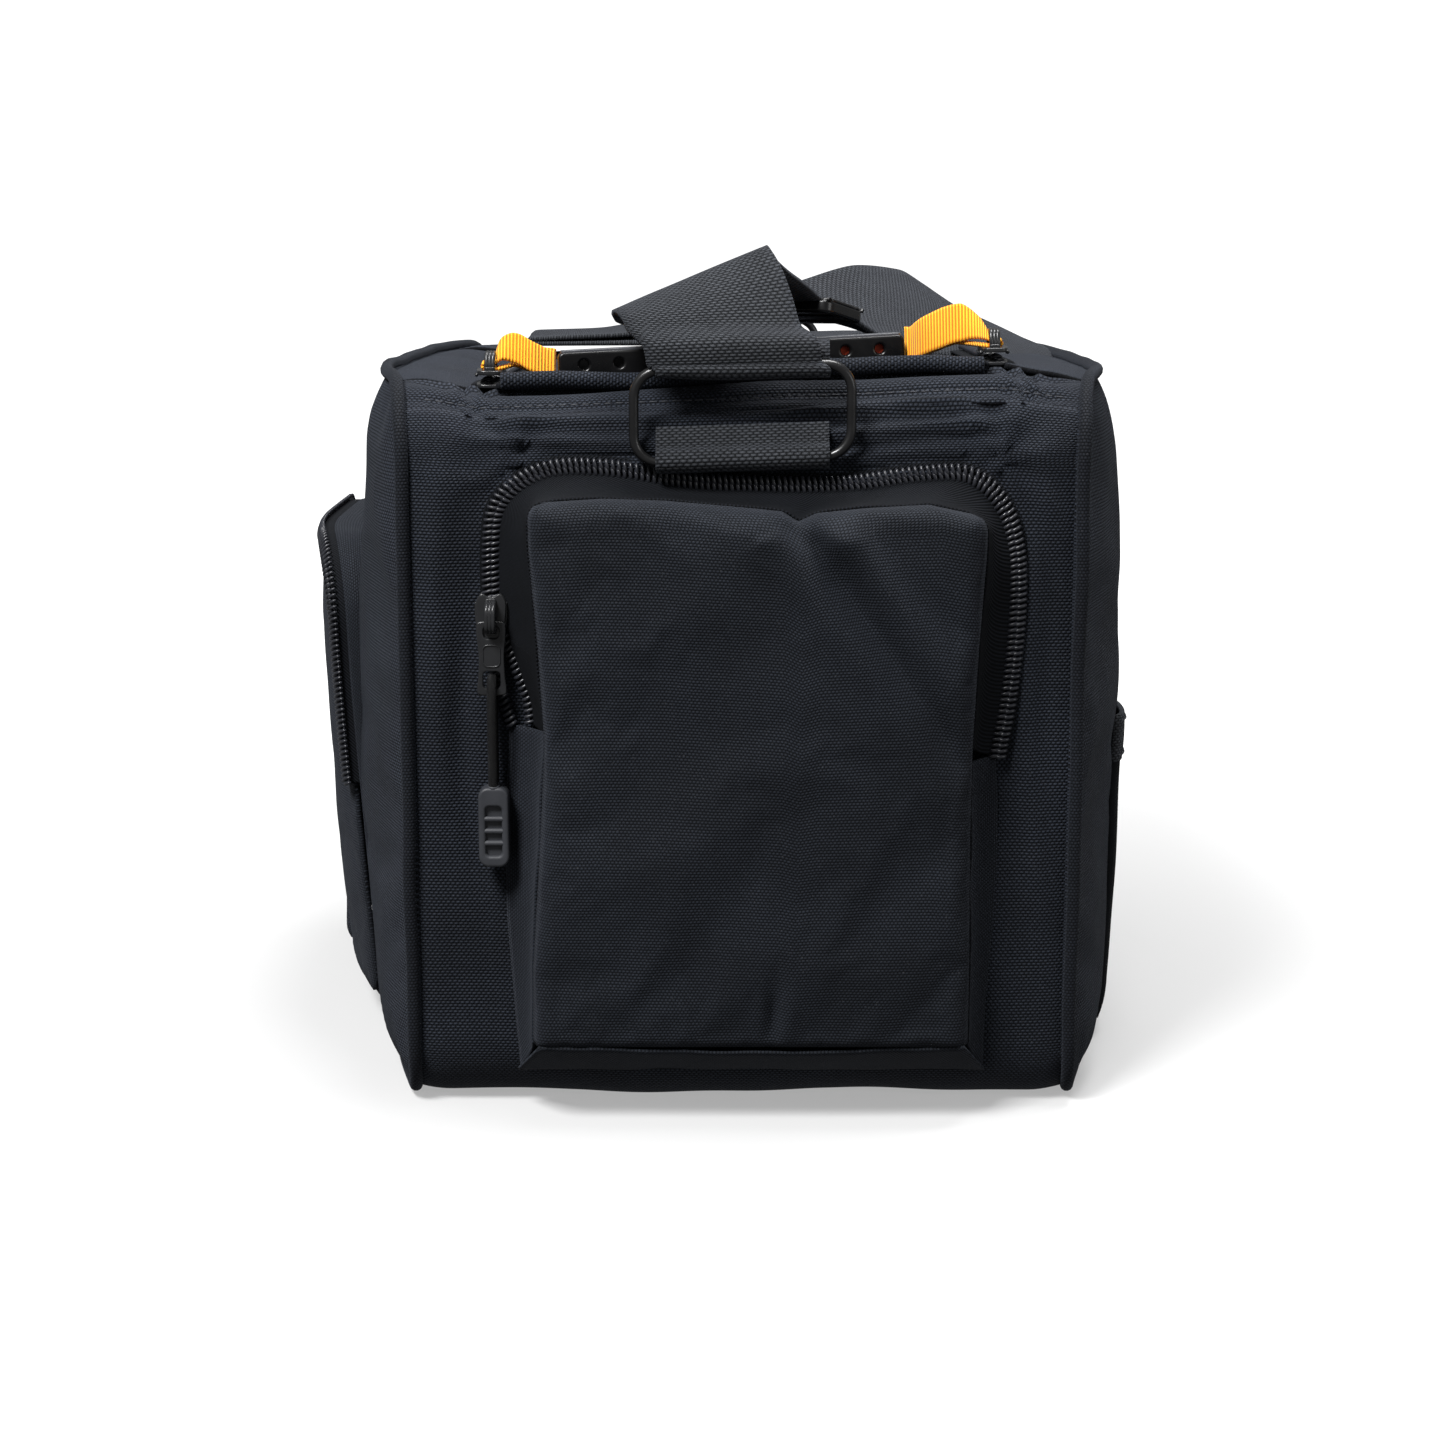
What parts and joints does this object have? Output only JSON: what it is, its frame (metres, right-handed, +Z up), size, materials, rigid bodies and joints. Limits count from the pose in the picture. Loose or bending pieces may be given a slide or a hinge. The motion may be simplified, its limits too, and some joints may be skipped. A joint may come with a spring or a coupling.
{
  "type": "soft ball bag",
  "caption": "Soft zipped ball bag with a lid, piped side panels, zipped outer pockets, a mesh pocket and a webbing shoulder strap on wire rings.",
  "frame": {"origin": "centre of the base, on the floor", "axes": "+Z up, +Y from the near end (zipped end pocket) to the far end, +X to the right seen from the near end"},
  "size_m": [0.2963, 0.3356, 0.2633],
  "materials": {
    "oxford_fabric": "coarse oxford weave, matt",
    "pocket_fabric": "finer oxford weave, matt",
    "base_fabric": "coated base cloth",
    "piping_fabric": "piping cover",
    "board": "stiff polyethylene sheet",
    "foam": "closed-cell foam",
    "zip_coil": "nylon coil on woven tape",
    "slider_metal": "dark nickel",
    "slider_black": "semi-gloss black paint",
    "pull_bar_vinyl": "glossy black vinyl",
    "ribbon": "orange grosgrain",
    "cord": "braided cord",
    "tip_rubber": "moulded rubber",
    "mesh": "hexagonal net",
    "webbing": "flat woven webbing",
    "ring_wire": "gloss black"
  },
  "bodies": {
    "bag": {"near_end_panel": "oxford_fabric", "far_end_panel": "oxford_fabric", "bottom_panel": "base_fabric", "near_rim": "oxford_fabric", "far_deck": "oxford_fabric", "left_rim": "oxford_fabric", "right_rim": "oxford_fabric", "left_side_panel": "oxford_fabric", "right_side_panel": "oxford_fabric", "left_piping": "piping_fabric", "right_piping": "piping_fabric", "base_board": "board", "ball_cup": "foam", "lid_zip_left_outer": "zip_coil", "lid_zip_right_outer": "zip_coil", "end_pocket_pouch": "pocket_fabric", "end_pocket_zip_outer": "zip_coil", "side_pocket_gusset": "pocket_fabric", "side_pocket_zip_outer": "zip_coil", "mesh_pocket": "mesh", "mesh_pocket_binding": "webbing", "near_ring_tab": "webbing", "far_ring_tab": "webbing", "strap_front": "webbing", "strap_rear": "webbing"},
    "lid": {"lid_panel": "oxford_fabric", "lid_hem": "oxford_fabric", "lid_zip_left_inner": "zip_coil", "lid_zip_right_inner": "zip_coil"},
    "lid_pull": {"pull_bar": "pull_bar_vinyl", "pull_ribbon_left": "ribbon", "pull_ribbon_right": "ribbon", "lid_slider_left": "slider_metal", "lid_slider_right": "slider_metal"},
    "end_pocket_flap": {"end_pocket_front": "pocket_fabric", "end_pocket_zip_inner": "zip_coil"},
    "end_slider": {"end_pocket_slider": "slider_black"},
    "end_puller": {"end_pocket_puller": "slider_black", "pull_cord": "cord", "pull_tip": "tip_rubber"},
    "side_pocket_flap": {"side_pocket_front": "pocket_fabric", "side_pocket_zip_inner": "zip_coil"},
    "side_slider": {"side_pocket_slider": "slider_black"},
    "side_puller": {"side_pocket_puller": "slider_black"},
    "near_ring": {"near_ring": "ring_wire"},
    "far_ring": {"far_ring": "ring_wire"}
  },
  "joints": [
    {"name": "lid_open", "type": "hinge", "parent": "bag", "child": "lid", "pos_m": [0, 0.0947, 0.228], "axis": [-1, 0, 0], "range_deg": [0, 95]},
    {"name": "lid_pull_slide", "type": "slide", "parent": "lid", "child": "lid_pull", "axis": [0, 1, 0], "range_m": [0, 0.17]},
    {"name": "end_pocket_flap_open", "type": "hinge", "parent": "bag", "child": "end_pocket_flap", "pos_m": [0.003, -0.172, 0.118], "axis": [1, 0, 0], "range_deg": [0, 80]},
    {"name": "end_slider_slide", "type": "slide", "parent": "end_pocket_flap", "child": "end_slider", "axis": [0, 0, 1], "range_m": [-0.03, 0.02]},
    {"name": "end_puller_swing", "type": "hinge", "parent": "end_slider", "child": "end_puller", "pos_m": [-0.076, -0.15685, 0.15594], "axis": [-1, 0, 0], "range_deg": [0, 100]},
    {"name": "side_pocket_flap_open", "type": "hinge", "parent": "bag", "child": "side_pocket_flap", "pos_m": [-0.145, 0, 0.088], "axis": [0, -1, 0], "range_deg": [0, 75]},
    {"name": "side_slider_slide", "type": "slide", "parent": "side_pocket_flap", "child": "side_slider", "axis": [0, 0, 1], "range_m": [-0.012, 0.014]},
    {"name": "side_puller_swing", "type": "hinge", "parent": "side_slider", "child": "side_puller", "pos_m": [-0.14945, 0.0662, 0.12294], "axis": [0, 1, 0], "range_deg": [0, 100]},
    {"name": "near_ring_pivot", "type": "hinge", "parent": "bag", "child": "near_ring", "pos_m": [0, -0.1555, 0.2054], "axis": [1, 0, 0], "range_deg": [-12, 90], "deforming": ["strap_front"]},
    {"name": "far_ring_pivot", "type": "hinge", "parent": "bag", "child": "far_ring", "pos_m": [0, 0.1555, 0.2054], "axis": [-1, 0, 0], "range_deg": [-12, 90], "deforming": ["strap_rear"]}
  ],
  "couplings": [
    {"joint": "end_puller_swing", "follows": "end_pocket_flap_open", "ratio": 1}
  ]
}
